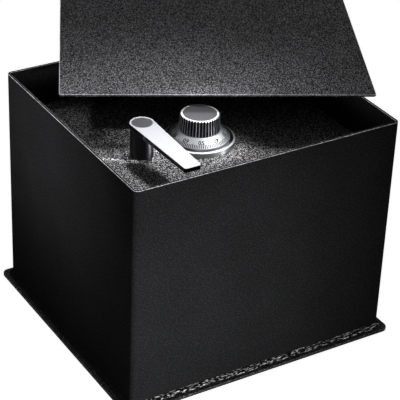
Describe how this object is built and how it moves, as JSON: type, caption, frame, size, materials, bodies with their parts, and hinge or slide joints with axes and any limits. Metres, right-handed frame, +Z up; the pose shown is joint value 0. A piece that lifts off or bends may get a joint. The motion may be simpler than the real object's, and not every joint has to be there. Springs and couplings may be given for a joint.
{
  "type": "floor safe",
  "caption": "Square in-floor safe: open-topped steel body with a base flange, hinged door in a recess with combination dial, lever handle and locking bolts, and a loose cover plate.",
  "frame": {"origin": "centre of the anchor hole at the underside of the base plate", "axes": "+Z up, -Y the front where the user stands, +X to the user's right"},
  "size_m": [0.5282, 0.5511, 0.294],
  "materials": {
    "shell_paint": "fine texture black powder coat",
    "inner_paint": "satin black paint",
    "door_paint": "coarse pebbled black powder coat",
    "cover_paint": "coarse pebbled black powder coat",
    "weld_metal": "painted weld bead",
    "satin_chrome": "satin chrome plate",
    "knob_chrome": "bright chrome plate",
    "lever_chrome": "satin chrome plate",
    "bolt_chrome": "turned and chromed steel",
    "brushed_disc": "brushed",
    "zinc_steel": "zinc plated",
    "screw_steel": "bright zinc",
    "hardened_steel": "hardened, dark",
    "cast_zinc": "cast, matt",
    "brass": "machined",
    "black_nylon": "matt"
  },
  "bodies": {
    "safe": {"body_shell": "shell_paint", "base_plate": "shell_paint", "weld_bead": "weld_metal", "door_jamb": "inner_paint", "wall_hinge_leaves": "inner_paint", "hinge_pins": "zinc_steel"},
    "door": {"door_plate": "door_paint", "door_hinge_leaves": "inner_paint", "dial_ring": "satin_chrome", "lever_bush": "brass", "hard_plate": "hardened_steel", "bolt_guide": "zinc_steel", "guide_screws": "screw_steel", "carrier_posts": "screw_steel", "dead_bar": "zinc_steel", "dead_bar_blocks": "zinc_steel", "dead_bar_screws": "screw_steel", "lock_case": "cast_zinc", "lock_cover": "cast_zinc", "lock_screws": "screw_steel"},
    "dial_group": {"dial": "satin_chrome", "dial_knob": "knob_chrome", "dial_disc": "brushed_disc", "spindle": "screw_steel", "drive_cam": "brass"},
    "wheel_1_group": {"wheel_1": "brass"},
    "wheel_2_group": {"wheel_2": "brass"},
    "wheel_3_group": {"wheel_3": "brass"},
    "lock_bolt_group": {"lock_bolt": "brass", "fence_lever": "brass"},
    "lever_group": {"lever_arm": "lever_chrome", "lever_post": "knob_chrome", "lever_disc": "brushed_disc", "lever_washer": "black_nylon", "lever_shaft": "screw_steel", "lever_crank": "hardened_steel", "crank_screw": "screw_steel"},
    "carrier_group": {"bolt_carrier": "zinc_steel", "crank_arm": "zinc_steel", "lock_arm": "zinc_steel", "left_bolt": "bolt_chrome", "middle_bolt": "bolt_chrome", "right_bolt": "bolt_chrome", "bolt_nuts": "screw_steel"},
    "cover_group": {"cover_plate": "cover_paint"}
  },
  "joints": [
    {"name": "door_swing", "type": "hinge", "parent": "safe", "child": "door", "pos_m": [0, 0.1465, 0.2465], "axis": [-1, 0, 0], "range_deg": [0, 100]},
    {"name": "cover_lift", "type": "slide", "parent": "safe", "child": "cover_group", "axis": [0, 0, 1], "range_m": [0, 0.53]},
    {"name": "dial_turn", "type": "hinge", "parent": "door", "child": "dial_group", "pos_m": [-0.006, -0.012, 0.2395], "axis": [0, 0, 1], "continuous": true},
    {"name": "wheel_1_turn", "type": "hinge", "parent": "door", "child": "wheel_1_group", "pos_m": [-0.006, -0.012, 0.2155], "axis": [0, 0, 1], "continuous": true},
    {"name": "wheel_2_turn", "type": "hinge", "parent": "door", "child": "wheel_2_group", "pos_m": [-0.006, -0.012, 0.2123], "axis": [0, 0, 1], "continuous": true},
    {"name": "wheel_3_turn", "type": "hinge", "parent": "door", "child": "wheel_3_group", "pos_m": [-0.006, -0.012, 0.2091], "axis": [0, 0, 1], "continuous": true},
    {"name": "lock_bolt_slide", "type": "slide", "parent": "door", "child": "lock_bolt_group", "axis": [1, 0, 0], "range_m": [0, 0.012]},
    {"name": "lever_turn", "type": "hinge", "parent": "door", "child": "lever_group", "pos_m": [-0.084, -0.012, 0.2395], "axis": [0, 0, 1], "range_deg": [0, 50]},
    {"name": "bolt_throw", "type": "slide", "parent": "door", "child": "carrier_group", "axis": [0, -1, 0], "range_m": [0, 0.0161]}
  ],
  "couplings": [
    {"joint": "cover_lift", "follows": "door_swing", "m_per_rad": 0.3},
    {"joint": "bolt_throw", "follows": "lever_turn", "m_per_rad": 0.018335},
    {"joint": "wheel_1_turn", "follows": "dial_turn", "ratio": 1},
    {"joint": "wheel_2_turn", "follows": "dial_turn", "ratio": 1},
    {"joint": "wheel_3_turn", "follows": "dial_turn", "ratio": 1}
  ]
}
